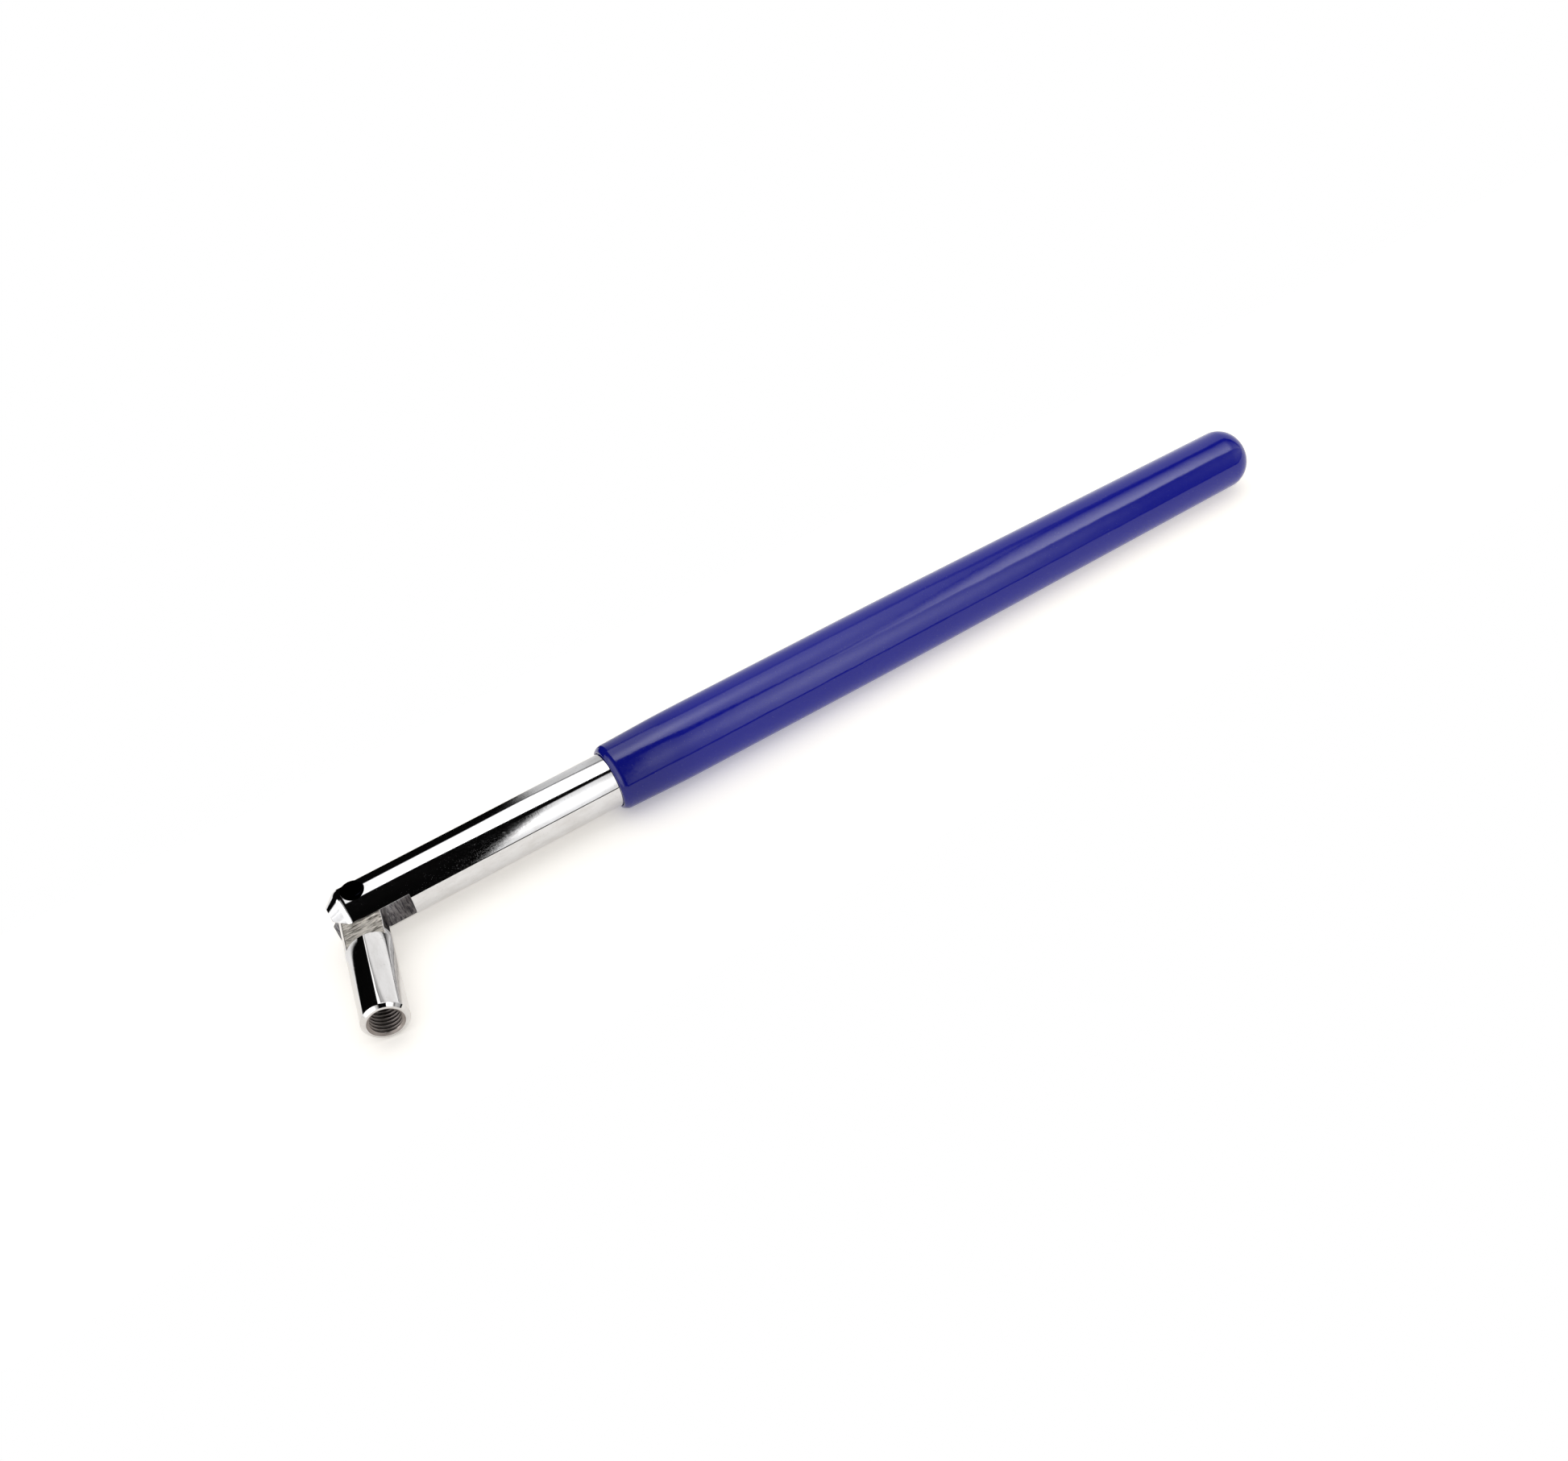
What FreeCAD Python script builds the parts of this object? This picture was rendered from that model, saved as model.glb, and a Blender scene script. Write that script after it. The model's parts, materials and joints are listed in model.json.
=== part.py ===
"""Swivel-head tool handle: a chromed rod in a dipped vinyl grip, with a threaded socket
hinged in its forked nose.

Every piece is drawn about the hinge: the pivot is the origin, X runs along the piece's own
axis and Z along the hinge pin. The finished pieces are then laid on the bench together: the
grip rests on Z = 0 along its straight stretch and the tool leans on the rim of its socket.
"""
import FreeCAD, Part
import math
import os

import Sketcher

# The driving dimensions, in millimetres and degrees.
DIMENSIONS = {
    # handle rod
    "rod_dia": 10.0,
    "rod_end": 185.0,          # pivot to the rod's far end, inside the grip
    "rod_end_bevel": 1.0,
    "nose_end": 5.05,          # pivot to the flat of the nose
    "nose_edge": 1.95,         # pivot to where the nose starts to round off
    "nose_round": 2.0,         # radius between the barrel and the nose's bevel
    "nose_bevel": 40.2,        # slope of the bevel, degrees from the rod's axis
    "fork_gap": 4.6,
    "fork_depth": 7.75,        # pivot to the floor of the slot
    # hinge pin
    "pin_dia": 4.1,
    "pin_edge": 5.2,           # half length over the straight part of the pin
    "pin_crown": 0.35,         # height of each domed end
    "pin_clearance": 0.04,     # radial, in the tongue
    # threaded socket
    "socket_dia": 8.0,
    "socket_mouth": 25.7,      # pivot to the end face of the socket
    "socket_bevel": 0.5,
    "tongue_width": 4.5,
    "tongue_shoulder": 9.66,   # pivot to where the two flats end, square to the shoulder
    "shoulder_skew": 7.8,      # the shoulder's turn from square, in degrees
    "thread_minor_dia": 5.188, # M6 x 0.75
    "thread_depth": 12.0,
    "drill_point": 1.5,
    "countersink_dia": 6.1,
    # grip sleeve
    "grip_start": 47.4,        # pivot to the front lip
    "grip_end": 189.5,
    "grip_dia": 12.84,
    "grip_lip_dia": 12.2,
    "grip_lip_length": 1.3,
    "grip_lip_rise": 0.62,     # how far the rounded lip climbs over its length
    "grip_lip_round": 1.7,
    "grip_full": 60.0,         # pivot to where the sleeve reaches its full thickness
    "taper_start": 105.0,
    "taper_end": 184.7,
    "grip_tail_dia": 11.44,
    "tail_round": 4.8,
    # rest pose
    "socket_turn": 102.6,      # angle between the grip and the socket at the hinge
}

OVERCUT = 2.0                  # how far a cutting outline runs past the material


def make_sheet(doc):
    """Put every driving dimension into a spreadsheet cell that carries its name."""
    sheet = doc.addObject("Spreadsheet::Sheet", "dims")
    for row, (name, value) in enumerate(DIMENSIONS.items(), start=1):
        sheet.set(f"A{row}", name)
        sheet.set(f"B{row}", str(value))
        sheet.setAlias(f"B{row}", name)
    doc.recompute()
    return sheet


class Outline:
    """A closed sketch outline: vertices placed by expressions, joined by lines or arcs."""

    def __init__(self, body, name, plane):
        origin_plane = next(f for f in body.Origin.OriginFeatures if f.Role == plane)
        self.sketch = body.newObject("Sketcher::SketchObject", name)
        self.sketch.AttachmentSupport = [(origin_plane, "")]
        self.sketch.MapMode = "FlatFace"

    def skew(self, angle_expression):
        """Turn the sketch's plane about its own upright axis."""
        upright = FreeCAD.Vector(0, 1, 0)
        rotation = FreeCAD.Rotation(upright, evaluate(angle_expression))
        self.sketch.AttachmentOffset = FreeCAD.Placement(FreeCAD.Vector(), rotation)
        self.sketch.setExpression("AttachmentOffset.Rotation.Angle", angle_expression)
        return self

    def bind(self, kind, refs, value, expression):
        """Add a dimension and drive it from the sheet."""
        index = self.sketch.addConstraint(Sketcher.Constraint(kind, *refs, value))
        self.sketch.setExpression(f"Constraints[{index}]", expression)

    def place(self, curve, end, point, x_expression, y_expression):
        """Hold one end of a curve at its place, each way from the sketch's origin."""
        for kind, place, expression in (("DistanceX", point[0], x_expression),
                                        ("DistanceY", point[1], y_expression)):
            self.bind(kind, (-1, 1, curve, end), place, expression)

    def draw(self, vertices):
        """Join the vertices in order and close the outline.

        A vertex is (x expression, y expression) or, where an arc leads on to the next
        vertex, (x expression, y expression, radius expression, side): side is +1 for an
        arc that bulges to the left of the way along and -1 for one that bulges right.
        """
        points = [(evaluate(v[0]), evaluate(v[1])) for v in vertices]
        count = len(vertices)
        arc_ends = {}
        for i, vertex in enumerate(vertices):
            start = FreeCAD.Vector(*points[i], 0)
            finish = FreeCAD.Vector(*points[(i + 1) % count], 0)
            if len(vertex) == 2:
                self.sketch.addGeometry(Part.LineSegment(start, finish), False)
                arc_ends[i] = (1, 2)
                continue
            radius = evaluate(vertex[2])
            chord = finish - start
            rise = radius - math.sqrt(radius ** 2 - (chord.Length / 2) ** 2)
            left = FreeCAD.Vector(-chord.y, chord.x, 0).normalize()
            middle = (start + finish) / 2 + left * (rise * vertex[3])
            arc = Part.Arc(start, middle, finish)
            self.sketch.addGeometry(arc, False)
            # an arc keeps its ends counterclockwise, so one that bulges left is reversed
            arc_ends[i] = (2, 1) if vertex[3] > 0 else (1, 2)
        for i in range(count):
            following = (i + 1) % count
            refs = (i, arc_ends[i][1], following, arc_ends[following][0])
            self.sketch.addConstraint(Sketcher.Constraint("Coincident", *refs))
        for i, vertex in enumerate(vertices):
            self.place(i, arc_ends[i][0], points[i], vertex[0], vertex[1])
            if len(vertex) > 2:
                self.bind("Radius", (i,), evaluate(vertex[2]), vertex[2])
        return self.sketch

    def circle(self, radius_expression):
        """A circle about the sketch's origin."""
        radius = evaluate(radius_expression)
        centre = FreeCAD.Vector(0, 0, 0)
        axis = FreeCAD.Vector(0, 0, 1)
        self.sketch.addGeometry(Part.Circle(centre, axis, radius), False)
        self.sketch.addConstraint(Sketcher.Constraint("Coincident", 0, 3, -1, 1))
        self.bind("Radius", (0,), radius, radius_expression)
        return self.sketch


def evaluate(expression):
    """The value that an expression over the sheet has now, in millimetres."""
    text = str(expression)
    value = doc.getObject("dims").evalExpression(text.replace("dims.", ""))
    return float(getattr(value, "Value", value))


def revolve(body, sketch, axis, name, cut=False):
    """Turn a sketch once round its own axis, adding or cutting."""
    kind = "PartDesign::Groove" if cut else "PartDesign::Revolution"
    feature = body.newObject(kind, name)
    feature.Profile = sketch
    feature.ReferenceAxis = (sketch, [axis])
    feature.Angle = 360.0
    return feature


def cut_through(body, sketch, name):
    """Cut a sketch right through the body, both ways from its plane."""
    feature = body.newObject("PartDesign::Pocket", name)
    feature.Profile = sketch
    feature.Type = "ThroughAll"
    feature.Midplane = True
    return feature


def make_handle_rod():
    """Round bar with a rounded nose, slotted into a fork and cross-drilled for the pin."""
    body = doc.addObject("PartDesign::Body", "handle_rod")
    # the bevel is tangent to the rounding, whose centre is at (-nose_edge, round_centre)
    round_centre = "(dims.rod_dia / 2 - dims.nose_round)"
    bevel_run = "(dims.nose_end - dims.nose_edge) * sin(dims.nose_bevel)"
    profile = Outline(body, "rod_profile", "XY_Plane").draw([
        ("-dims.nose_end", "0"),
        ("-dims.nose_end",
         f"{round_centre} + (dims.nose_round - {bevel_run}) / cos(dims.nose_bevel)"),
        ("-dims.nose_edge - dims.nose_round * sin(dims.nose_bevel)",
         f"{round_centre} + dims.nose_round * cos(dims.nose_bevel)",
         "dims.nose_round", 1),
        ("-dims.nose_edge", "dims.rod_dia / 2"),
        ("dims.rod_end - dims.rod_end_bevel", "dims.rod_dia / 2"),
        ("dims.rod_end", "dims.rod_dia / 2 - dims.rod_end_bevel"),
        ("dims.rod_end", "0"),
    ])
    revolve(body, profile, "H_Axis", "turned_bar")
    slot_start = f"-dims.nose_end - {OVERCUT}"
    slot = Outline(body, "slot_outline", "XZ_Plane").draw([
        (slot_start, "-dims.fork_gap / 2"),
        ("dims.fork_depth", "-dims.fork_gap / 2"),
        ("dims.fork_depth", "dims.fork_gap / 2"),
        (slot_start, "dims.fork_gap / 2"),
    ])
    cut_through(body, slot, "fork_slot")
    hole = Outline(body, "pin_hole_outline", "XY_Plane").circle("dims.pin_dia / 2")
    cut_through(body, hole, "pin_hole")
    return body


def make_hinge_pin():
    """Plain pin, pressed into the fork, with a low dome on each end."""
    body = doc.addObject("PartDesign::Body", "hinge_pin")
    # a dome centred on the pin's axis
    dome_radius = "(dims.pin_dia ^ 2 / 4 + dims.pin_crown ^ 2) / (2 * dims.pin_crown)"
    profile = Outline(body, "pin_profile", "XZ_Plane").draw([
        ("0", "-dims.pin_edge - dims.pin_crown", dome_radius, -1),
        ("dims.pin_dia / 2", "-dims.pin_edge"),
        ("dims.pin_dia / 2", "dims.pin_edge", dome_radius, -1),
        ("0", "dims.pin_edge + dims.pin_crown"),
    ])
    revolve(body, profile, "V_Axis", "turned_pin")
    return body


def make_threaded_socket():
    """Round socket, tapped from its mouth, with a flat tongue at the hinge end."""
    body = doc.addObject("PartDesign::Body", "threaded_socket")
    profile = Outline(body, "socket_profile", "XY_Plane").draw([
        ("-dims.socket_dia / 2", "0"),
        ("-dims.socket_dia / 2", "dims.socket_dia / 2"),
        ("dims.socket_mouth - dims.socket_bevel", "dims.socket_dia / 2"),
        ("dims.socket_mouth", "dims.socket_dia / 2 - dims.socket_bevel"),
        ("dims.socket_mouth", "0"),
    ])
    revolve(body, profile, "H_Axis", "turned_socket")
    tail_start = f"-dims.socket_dia / 2 - {OVERCUT}"
    for side in (1, -1):
        flat_level = f"{side} * dims.tongue_width / 2"
        outer_level = f"{side} * (dims.socket_dia / 2 + {OVERCUT})"
        outline = Outline(body, f"flat_outline_{(3 - side) // 2}", "XZ_Plane")
        flat = outline.skew("dims.shoulder_skew").draw([
            (tail_start, flat_level),
            ("dims.tongue_shoulder", flat_level),
            ("dims.tongue_shoulder", outer_level),
            (tail_start, outer_level),
        ])
        cut_through(body, flat, f"tongue_flat_{(3 - side) // 2}")
    outer_side = f"(dims.socket_dia / 2 + {OVERCUT})"
    tail = Outline(body, "tail_outline", "XY_Plane").draw([
        ("0", "-dims.socket_dia / 2", "dims.socket_dia / 2", 1),
        ("-dims.socket_dia / 2", "0", "dims.socket_dia / 2", 1),
        ("0", "dims.socket_dia / 2"),
        ("0", outer_side),
        (tail_start, outer_side),
        (tail_start, f"-{outer_side}"),
        ("0", f"-{outer_side}"),
    ])
    cut_through(body, tail, "tongue_tail")
    eye_radius = "dims.pin_dia / 2 + dims.pin_clearance"
    eye = Outline(body, "eye_outline", "XY_Plane").circle(eye_radius)
    cut_through(body, eye, "tongue_eye")
    bore_floor = "dims.socket_mouth - dims.thread_depth"
    sink_radius = f"dims.countersink_dia / 2 + {OVERCUT}"
    sink_foot = "dims.socket_mouth - (dims.countersink_dia - dims.thread_minor_dia) / 2"
    bore = Outline(body, "bore_outline", "XY_Plane").draw([
        (f"{bore_floor} - dims.drill_point", "0"),
        (bore_floor, "dims.thread_minor_dia / 2"),
        (sink_foot, "dims.thread_minor_dia / 2"),
        (f"dims.socket_mouth + {OVERCUT}", sink_radius),
        (f"dims.socket_mouth + {OVERCUT}", "0"),
    ])
    revolve(body, bore, "H_Axis", "tapped_bore", cut=True)
    return body


def make_grip_sleeve():
    """Closed vinyl sleeve: a thin lip, a straight stretch, a taper and a rounded end."""
    body = doc.addObject("PartDesign::Body", "grip_sleeve")
    lip_radius = "dims.grip_lip_dia / 2 - dims.grip_lip_rise"
    lip_back = "dims.grip_start + dims.grip_lip_length"
    tail_flat = "dims.grip_tail_dia / 2 - dims.tail_round"
    profile = Outline(body, "grip_profile", "XY_Plane").draw([
        ("dims.grip_start", "dims.rod_dia / 2"),
        ("dims.grip_start", lip_radius, "dims.grip_lip_round", 1),
        (lip_back, "dims.grip_lip_dia / 2"),
        ("dims.grip_full", "dims.grip_dia / 2"),
        ("dims.taper_start", "dims.grip_dia / 2"),
        ("dims.taper_end", "dims.grip_tail_dia / 2", "dims.tail_round", 1),
        ("dims.grip_end", tail_flat),
        ("dims.grip_end", "0"),
        ("dims.rod_end", "0"),
        ("dims.rod_end", "dims.rod_dia / 2 - dims.rod_end_bevel"),
        ("dims.rod_end - dims.rod_end_bevel", "dims.rod_dia / 2"),
    ])
    revolve(body, profile, "H_Axis", "moulded_sleeve")
    return body


def lying_placement():
    """Where the pivot goes, and how the tool rolls, when it lies on Z = 0.

    The grip's straight stretch and the outer edge of the socket's bevel touch the bench.
    The origin is then the middle of the footprint.
    """
    d = DIMENSIONS
    turn = math.radians(d["socket_turn"])
    grip_radius = d["grip_dia"] / 2
    # the two rims of the bevel: distance from the pivot, radius
    rims = ((d["socket_mouth"] - d["socket_bevel"], d["socket_dia"] / 2),
            (d["socket_mouth"], d["socket_dia"] / 2 - d["socket_bevel"]))
    reach, radius = rims[0]
    dip = math.asin(grip_radius / math.hypot(reach, radius)) - math.atan2(radius, reach)
    roll = math.asin(math.sin(dip) / math.sin(turn))
    # how far the rims reach along -X and -Y from the pivot
    along = (math.cos(turn), -math.sin(turn) * math.cos(roll))
    lows = [min(r[0] * a - r[1] * math.sqrt(1 - a * a) for r in rims) for a in along]
    pivot_x = -(lows[0] + d["grip_end"]) / 2
    pivot_y = -(lows[1] + grip_radius) / 2
    rotation = FreeCAD.Rotation(FreeCAD.Vector(1, 0, 0), math.degrees(roll))
    return FreeCAD.Placement(FreeCAD.Vector(pivot_x, pivot_y, grip_radius), rotation)


def check_document(pieces):
    """Stop if any object failed or any piece has no sound shape."""
    for item in doc.Objects:
        if "Invalid" in item.State or "Error" in item.State:
            raise RuntimeError(f"{item.Label}: {item.State}")
    for piece in pieces:
        shape = piece.Shape
        if shape.isNull() or not shape.isValid() or len(shape.Solids) != 1:
            raise RuntimeError(f"{piece.Label}: unsound shape")


doc = FreeCAD.newDocument("swivel_tool_handle")
make_sheet(doc)
handle_pieces = [make_handle_rod(), make_hinge_pin(), make_grip_sleeve()]
socket = make_threaded_socket()

lying = lying_placement()
swing = FreeCAD.Rotation(FreeCAD.Vector(0, 0, 1), -DIMENSIONS["socket_turn"])
for piece in handle_pieces:
    piece.Placement = lying
socket.Placement = lying.multiply(FreeCAD.Placement(FreeCAD.Vector(0, 0, 0), swing))
doc.recompute()

all_pieces = handle_pieces + [socket]
check_document(all_pieces)
os.makedirs("parts", exist_ok=True)
for piece in all_pieces:
    piece.Shape.exportStep(f"parts/{piece.Label}.step")
    box = piece.Shape.optimalBoundingBox(False)
    print(f"{piece.Label}: {piece.Shape.Volume:.1f} mm3, "
          f"x {box.XMin:.2f} {box.XMax:.2f}, y {box.YMin:.2f} {box.YMax:.2f}, "
          f"z {box.ZMin:.2f} {box.ZMax:.2f}")
print(f"pivot {lying.Base.x:.4f} {lying.Base.y:.4f} {lying.Base.z:.4f}, "
      f"roll {math.degrees(lying.Rotation.Angle):.4f} degrees")
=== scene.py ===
import json
import math
from itertools import pairwise

import bmesh
import bpy
from mathutils import Matrix, Vector


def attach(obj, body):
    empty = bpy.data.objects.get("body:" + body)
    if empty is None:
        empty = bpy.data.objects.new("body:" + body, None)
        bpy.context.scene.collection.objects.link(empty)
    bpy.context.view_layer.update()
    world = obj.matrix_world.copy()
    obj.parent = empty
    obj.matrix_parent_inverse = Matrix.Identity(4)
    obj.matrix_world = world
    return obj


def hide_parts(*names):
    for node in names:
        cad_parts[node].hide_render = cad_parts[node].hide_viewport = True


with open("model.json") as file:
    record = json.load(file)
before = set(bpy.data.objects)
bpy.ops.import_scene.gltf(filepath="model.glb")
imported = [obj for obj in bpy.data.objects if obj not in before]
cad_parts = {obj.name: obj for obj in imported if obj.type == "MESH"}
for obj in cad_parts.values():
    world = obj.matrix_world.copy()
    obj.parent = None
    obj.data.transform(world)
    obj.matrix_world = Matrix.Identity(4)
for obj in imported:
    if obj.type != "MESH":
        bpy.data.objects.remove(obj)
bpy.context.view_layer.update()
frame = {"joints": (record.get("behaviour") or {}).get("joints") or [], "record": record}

# Every piece is drawn in millimetres about the hinge pin: X along its own
# axis, Z up the pin. Its object then stands at the joint, in metres.
MM = 0.001
HINGE = frame["joints"][0]
MOUNT = frame["record"]["mounts"][0]
PIVOT = Vector(HINGE["pos_m"])
PIN_AXIS = Vector(HINGE["axis"]).normalized()
ROD_AXIS = Vector((1, 0, 0))
SOCKET_AXIS = Vector(MOUNT["axis"]).normalized()

ROD_RADIUS = 5.0
ROD_END = 185.0
ROD_END_BEVEL = 1.0
NOSE_END = -5.05
NOSE_EDGE = -1.95
NOSE_ROUND = 2.0
NOSE_BEVEL = math.radians(40.2)
NOSE_FLAT_EDGE = 0.3        # how far in the outline of the nose's flat starts
FORK_HALF_GAP = 2.3
FORK_DEPTH = 7.75
PIN_RADIUS = 2.05
PIN_EDGE = 5.2
PIN_CROWN = 0.35
PIN_CLEARANCE = 0.04
PIN_PRESS_GAP = 0.008
SOCKET_RADIUS = 4.0
SOCKET_MOUTH = 25.7
SOCKET_BEVEL = 0.5
TONGUE_HALF = 2.25
TONGUE_SHOULDER = 9.66
SHOULDER_SKEW = math.radians(7.8)
THREAD_MINOR = 2.594
THREAD_MAJOR = 3.06
THREAD_PITCH = 0.75
CREST_END = 0.25            # the thread's form, in pitches
ROOT_START = 0.5625
ROOT_END = 0.6875
THREAD_FLOOR = 13.7
DRILL_POINT = 1.5
SINK_RADIUS = 3.1
GRIP_START = 47.4
GRIP_END = 189.5
GRIP_RADIUS = 6.42
GRIP_LIP_RADIUS = 6.1
GRIP_LIP_LENGTH = 1.3
GRIP_LIP_RISE = 0.62
GRIP_LIP_ROUND = 1.7
GRIP_FULL = 60.0
TAPER_START = 105.0
TAPER_END = 184.7
GRIP_TAIL_RADIUS = 5.72
TAIL_ROUND = 4.8
GRIP_BORE = 5.01
BORE_END = 185.01
BORE_MOUTH_DEPTH = 0.25
BORE_MOUTH_FLARE = 0.12

# the small roundings that break the sharp edges
NOSE_BREAK = 0.13
FORK_BREAK = 0.10
ROD_END_BREAK = 0.1
TONGUE_BREAK = 0.07
RIM_BREAK = 0.06
PIN_BREAK = 0.2
LIP_BREAK = 0.13
GRIP_FULL_BREAK = 3.0
TAPER_BREAK = 12.0
TAIL_BREAK = 0.4

# how many steps there are round each curve
EDGE_STEPS = 4
FORK_SIDE_STEPS = 16
FORK_BACK_STEPS = 44
SOCKET_SIDE_STEPS = 20
SOCKET_BACK_STEPS = 40
TONGUE_STEPS = 3
TAIL_STEPS = 32
PIN_STEPS = 72
GRIP_STEPS = 128

# how a face takes its normals: turned, flat, or left to Blender
SMOOTH, FLAT, FREE = range(3)

WELD = 2e-5                 # points closer than this are one
DRILL_OVERRUN = 2.0


def add_object(name, data):
    item = bpy.data.objects.new(name, data)
    bpy.context.scene.collection.objects.link(item)
    return item


# ---------------------------------------------------------------- shells

class Shell:
    """A closed skin that keeps the true normal at each of its points."""

    def __init__(self):
        self.points = []
        self.normals = []
        self.faces = []
        self.kinds = []
        self.finishes = []

    def point(self, place, normal=(0, 0, 0)):
        self.points.append(Vector(place))
        self.normals.append(Vector(normal))
        return len(self.points) - 1

    def face(self, corners, kind, finish=0):
        self.faces.append(corners)
        self.kinds.append(kind)
        self.finishes.append(finish)

    def strip(self, first, second, kind, finish=0, closed=False):
        """Quads between two rows of points."""
        if closed:
            first = first + first[:1]
            second = second + second[:1]
        for (a, b), (c, d) in zip(pairwise(first), pairwise(second)):
            self.face((a, b, d, c), kind, finish)

    def build(self, name):
        """The welded mesh, with its faces turned outwards."""
        mesh = bpy.data.meshes.new(name)
        mesh.from_pydata(self.points, [], self.faces)
        kind = mesh.attributes.new("kind", "INT", "FACE")
        kind.data.foreach_set("value", self.kinds)
        mesh.polygons.foreach_set("material_index", self.finishes)
        skin = bmesh.new()
        skin.from_mesh(mesh)
        bmesh.ops.remove_doubles(skin, verts=skin.verts, dist=WELD)
        bmesh.ops.dissolve_degenerate(skin, edges=skin.edges, dist=WELD)
        bmesh.ops.recalc_face_normals(skin, faces=skin.faces)
        skin.to_mesh(mesh)
        skin.free()
        return mesh


def drilled(mesh, radius, reach, name):
    """The mesh with a hole along the pin's axis."""
    cutter = bpy.data.meshes.new("cutter")
    tool = bmesh.new()
    bmesh.ops.create_cone(tool, cap_ends=True, segments=PIN_STEPS, radius1=radius,
                          radius2=radius, depth=2 * reach)
    tool.to_mesh(cutter)
    tool.free()
    body = add_object("body", mesh)
    drill = add_object("drill", cutter)
    cut = body.modifiers.new("cut", "BOOLEAN")
    cut.operation = "DIFFERENCE"
    cut.solver = "EXACT"
    cut.object = drill
    graph = bpy.context.evaluated_depsgraph_get()
    result = bpy.data.meshes.new_from_object(body.evaluated_get(graph))
    result.name = name
    bpy.data.objects.remove(body)
    bpy.data.objects.remove(drill)
    return result


def check_closed(mesh):
    """Stops the script if the mesh has a gap."""
    skin = bmesh.new()
    skin.from_mesh(mesh)
    open_edges = sum(not edge.is_manifold for edge in skin.edges)
    skin.free()
    if open_edges:
        raise ValueError(f"{mesh.name} has {open_edges} open edges")


def place_key(place):
    """A place rounded to a micrometre, to look up its normal."""
    return tuple(round(value, 3) for value in place)


def shade(mesh, shell, hole_radius=0.0, crease=30.0):
    """Gives each face corner its true normal: turned surfaces their own,
    flats and hole walls theirs, and the rest Blender's, split at creases."""
    known = {place_key(p): n for p, n in zip(shell.points, shell.normals)}
    kinds = mesh.attributes["kind"].data
    mesh.shade_smooth()
    mesh.set_sharp_from_angle(angle=math.radians(crease))
    normals = [Vector((0, 0, 0))] * len(mesh.loops)
    for face in mesh.polygons:
        wall = (abs(face.normal.z) < 0.2
                and face.center.xy.length < hole_radius + 0.01)
        kind = kinds[face.index].value
        for loop in face.loop_indices:
            place = mesh.vertices[mesh.loops[loop].vertex_index].co
            if wall:
                normal = Vector((-place.x, -place.y, 0)).normalized()
            elif kind == FLAT:
                normal = face.normal.copy()
            elif kind == SMOOTH:
                turned = Vector((0, place.y, place.z)).normalized()
                normal = known.get(place_key(place), turned)
            else:
                continue
            normals[loop] = normal
    mesh.normals_split_custom_set(normals)
    mesh.attributes.remove(mesh.attributes["kind"])


def stand(mesh, axis, materials, body, node):
    """Puts a finished mesh at the hinge, parents it to its body's empty and hides the part it
    replaces.
    """
    check_closed(mesh)
    side = PIN_AXIS.cross(axis)
    turn = Matrix((axis, side, PIN_AXIS)).transposed()
    mesh.transform(Matrix.Scale(MM, 4))
    for material in materials:
        mesh.materials.append(material)
    piece = add_object(mesh.name, mesh)
    piece.matrix_world = Matrix.LocRotScale(PIVOT, turn, None)
    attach(piece, body)
    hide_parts(node)


# ------------------------------------------------------------- profiles

def straight(start, end):
    """Both ends of a line, each with the normal on its left."""
    along = (Vector(end) - Vector(start)).normalized()
    normal = Vector((-along.y, along.x))
    return [(Vector(start), normal), (Vector(end), normal)]


def arc(start, end, radius, steps):
    """Points on the arc that bulges to the left of its chord."""
    start, end = Vector(start), Vector(end)
    middle = (start + end) / 2
    half = (end - start).length / 2
    left = Vector((start.y - end.y, end.x - start.x)).normalized()
    centre = middle - left * math.sqrt(radius ** 2 - half ** 2)
    swing = 2 * math.asin(half / radius)
    first = start - centre
    points = []
    for step in range(steps + 1):
        angle = -swing * step / steps
        spoke = Vector((first.x * math.cos(angle) - first.y * math.sin(angle),
                        first.x * math.sin(angle) + first.y * math.cos(angle)))
        points.append((centre + spoke, spoke.normalized()))
    return points


def bend(before, corner, after, steps):
    """Points that round a corner between two places with known normals."""
    (start, normal_in), (end, normal_out) = before, after
    points = []
    for step in range(1, steps):
        t = step / steps
        place = start * (1 - t) ** 2 + corner * 2 * t * (1 - t) + end * t * t
        points.append((place, normal_in.lerp(normal_out, t).normalized()))
    return points


def trimmed(run, cut_start, cut_end):
    """A run of profile points, shortened at each end."""
    run = list(run)
    for index, inward, cut in ((0, 1, cut_start), (-1, -2, cut_end)):
        if cut:
            (place, normal), (inner, _) = run[index], run[inward]
            run[index] = (place + (inner - place).normalized() * cut, normal)
    return run


def joined(runs, breaks, steps=EDGE_STEPS):
    """One profile from several runs, with each corner between them rounded."""
    edges = [0.0] + list(breaks) + [0.0]
    profile = []
    for index, run in enumerate(runs):
        cut = trimmed(run, edges[index], edges[index + 1])
        if profile and edges[index]:
            profile += bend(profile[-1], run[0][0], cut[0], steps)
        elif profile:
            cut = cut[1:]
        profile += cut
    return profile


def spread(start, end, count):
    """Evenly spaced values from start to end, in count steps."""
    return [start + (end - start) * step / count for step in range(count + 1)]


def full_turn(first, side_steps, back_steps):
    """Angles round a bar that two flats or a slot divide: the right side up
    to the angle first, over the top, the left side and back below."""
    right = spread(-first, first, side_steps)
    upper = spread(first, math.pi - first, back_steps)
    left = spread(math.pi - first, math.pi + first, side_steps)
    lower = spread(math.pi + first, 2 * math.pi - first, back_steps)
    return right + upper[1:] + left[1:] + lower[1:-1]


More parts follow.
